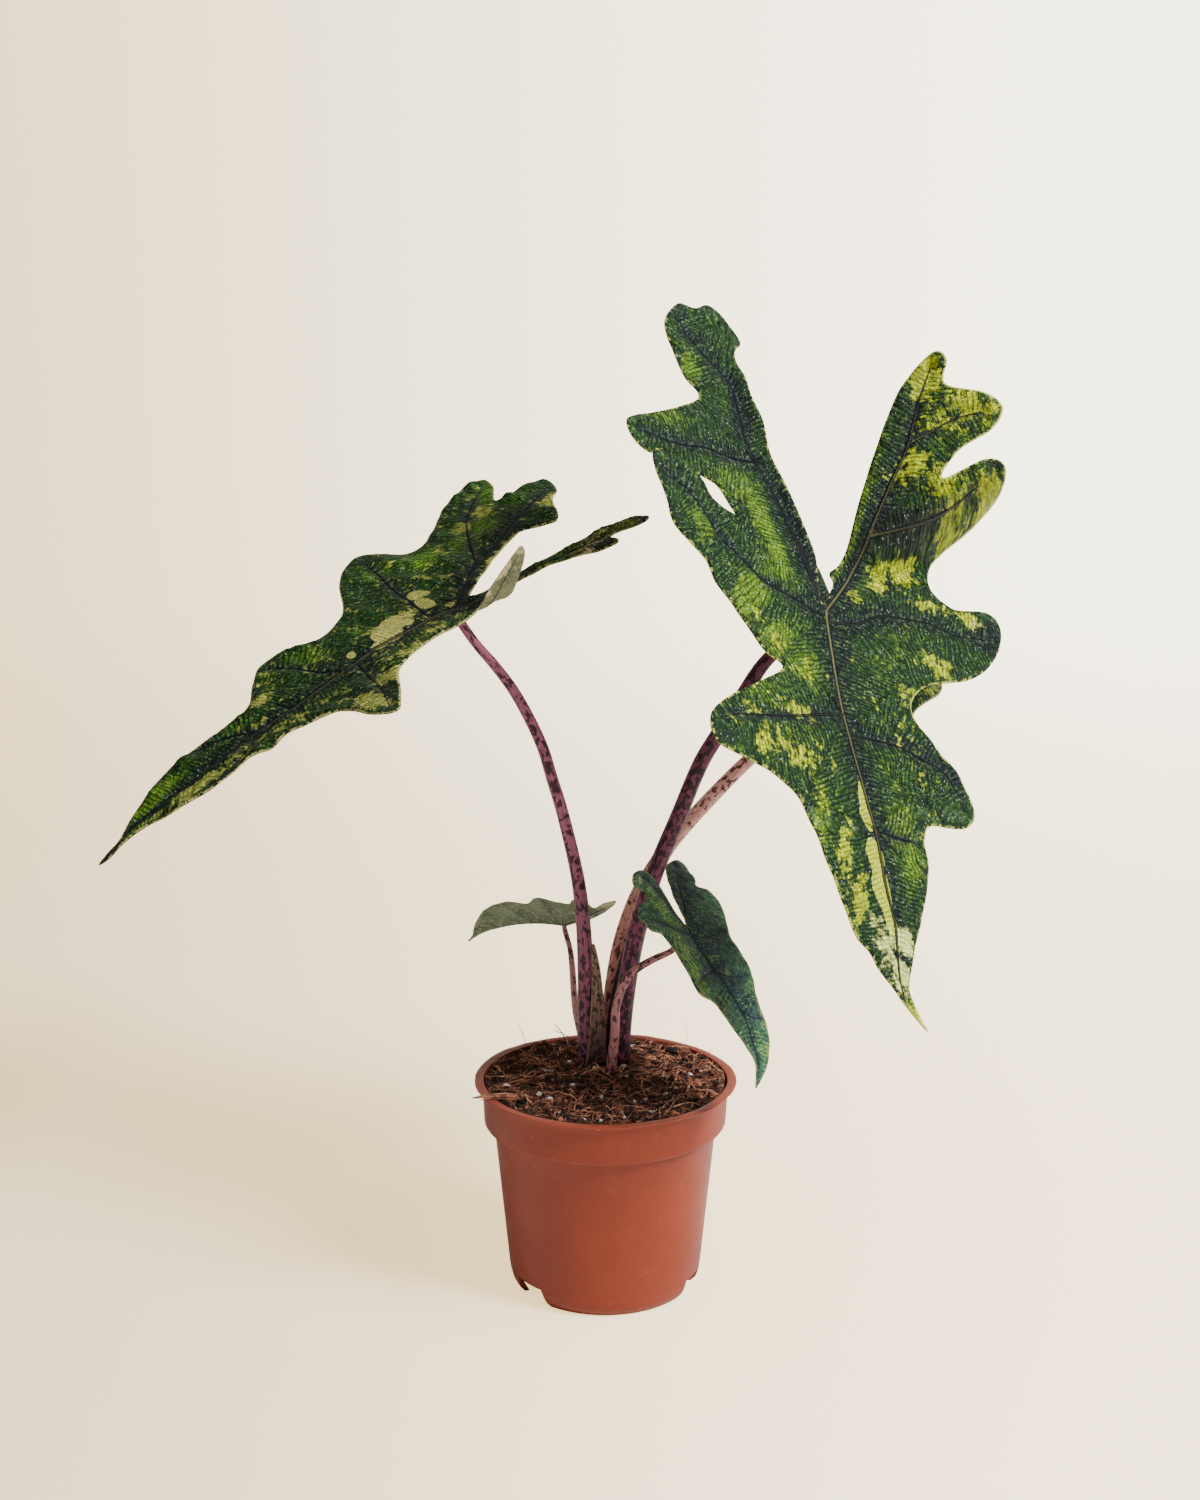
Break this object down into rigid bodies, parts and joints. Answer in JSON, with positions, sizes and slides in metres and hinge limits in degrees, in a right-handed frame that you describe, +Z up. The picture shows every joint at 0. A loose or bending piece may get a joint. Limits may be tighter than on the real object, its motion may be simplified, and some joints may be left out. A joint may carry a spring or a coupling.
{
  "type": "potted alocasia",
  "caption": "Young alocasia with lobed arrow-shaped leaves on long mottled stems, growing from a short crown in a round plastic nursery pot filled with soil.",
  "frame": {"origin": "centre of the pot's resting plane, on the pot's axis", "axes": "+Z up the pot's axis; -Y is the side the leaves show from in the picture; +X is to the right seen from there"},
  "size_m": [0.3851, 0.2972, 0.4455],
  "materials": {
    "pot": "terracotta-brown thin moulded plastic, satin",
    "soil": null,
    "crown": "dull brown corky stem",
    "leaf_a": "leathery quilted blade, green with yellow sectors, soft sheen",
    "leaf_b": "leathery quilted blade, dark green with yellow flecks, soft sheen",
    "leaf_c": "leathery blade, dark blue-green, soft sheen",
    "leaf_d": "leathery blade, dull grey-green underside",
    "leaf_e": "leathery blade, green with olive-yellow margin",
    "petiole_a": "fleshy stem, dark purple with near-black mottling",
    "petiole_b": "fleshy stem, pink-purple with dark cross mottling",
    "petiole_c": "thin fleshy stem, salmon with brown mottling",
    "petiole_d": "thin fleshy stem, salmon with brown mottling",
    "petiole_e": "fleshy stem, salmon pink with brown mottling",
    "sheath_b": "dry papery sheath, light brown",
    "sheath_e": "dry papery sheath, dark brown"
  },
  "bodies": {
    "root": {"pot": "pot", "soil": "soil", "crown": "crown", "leaf_a": "leaf_a", "leaf_b": "leaf_b", "leaf_c": "leaf_c", "leaf_d": "leaf_d", "leaf_e": "leaf_e", "petiole_a": "petiole_a", "petiole_b": "petiole_b", "petiole_c": "petiole_c", "petiole_d": "petiole_d", "petiole_e": "petiole_e", "sheath_b": "sheath_b", "sheath_e": "sheath_e"}
  },
  "joints": []
}
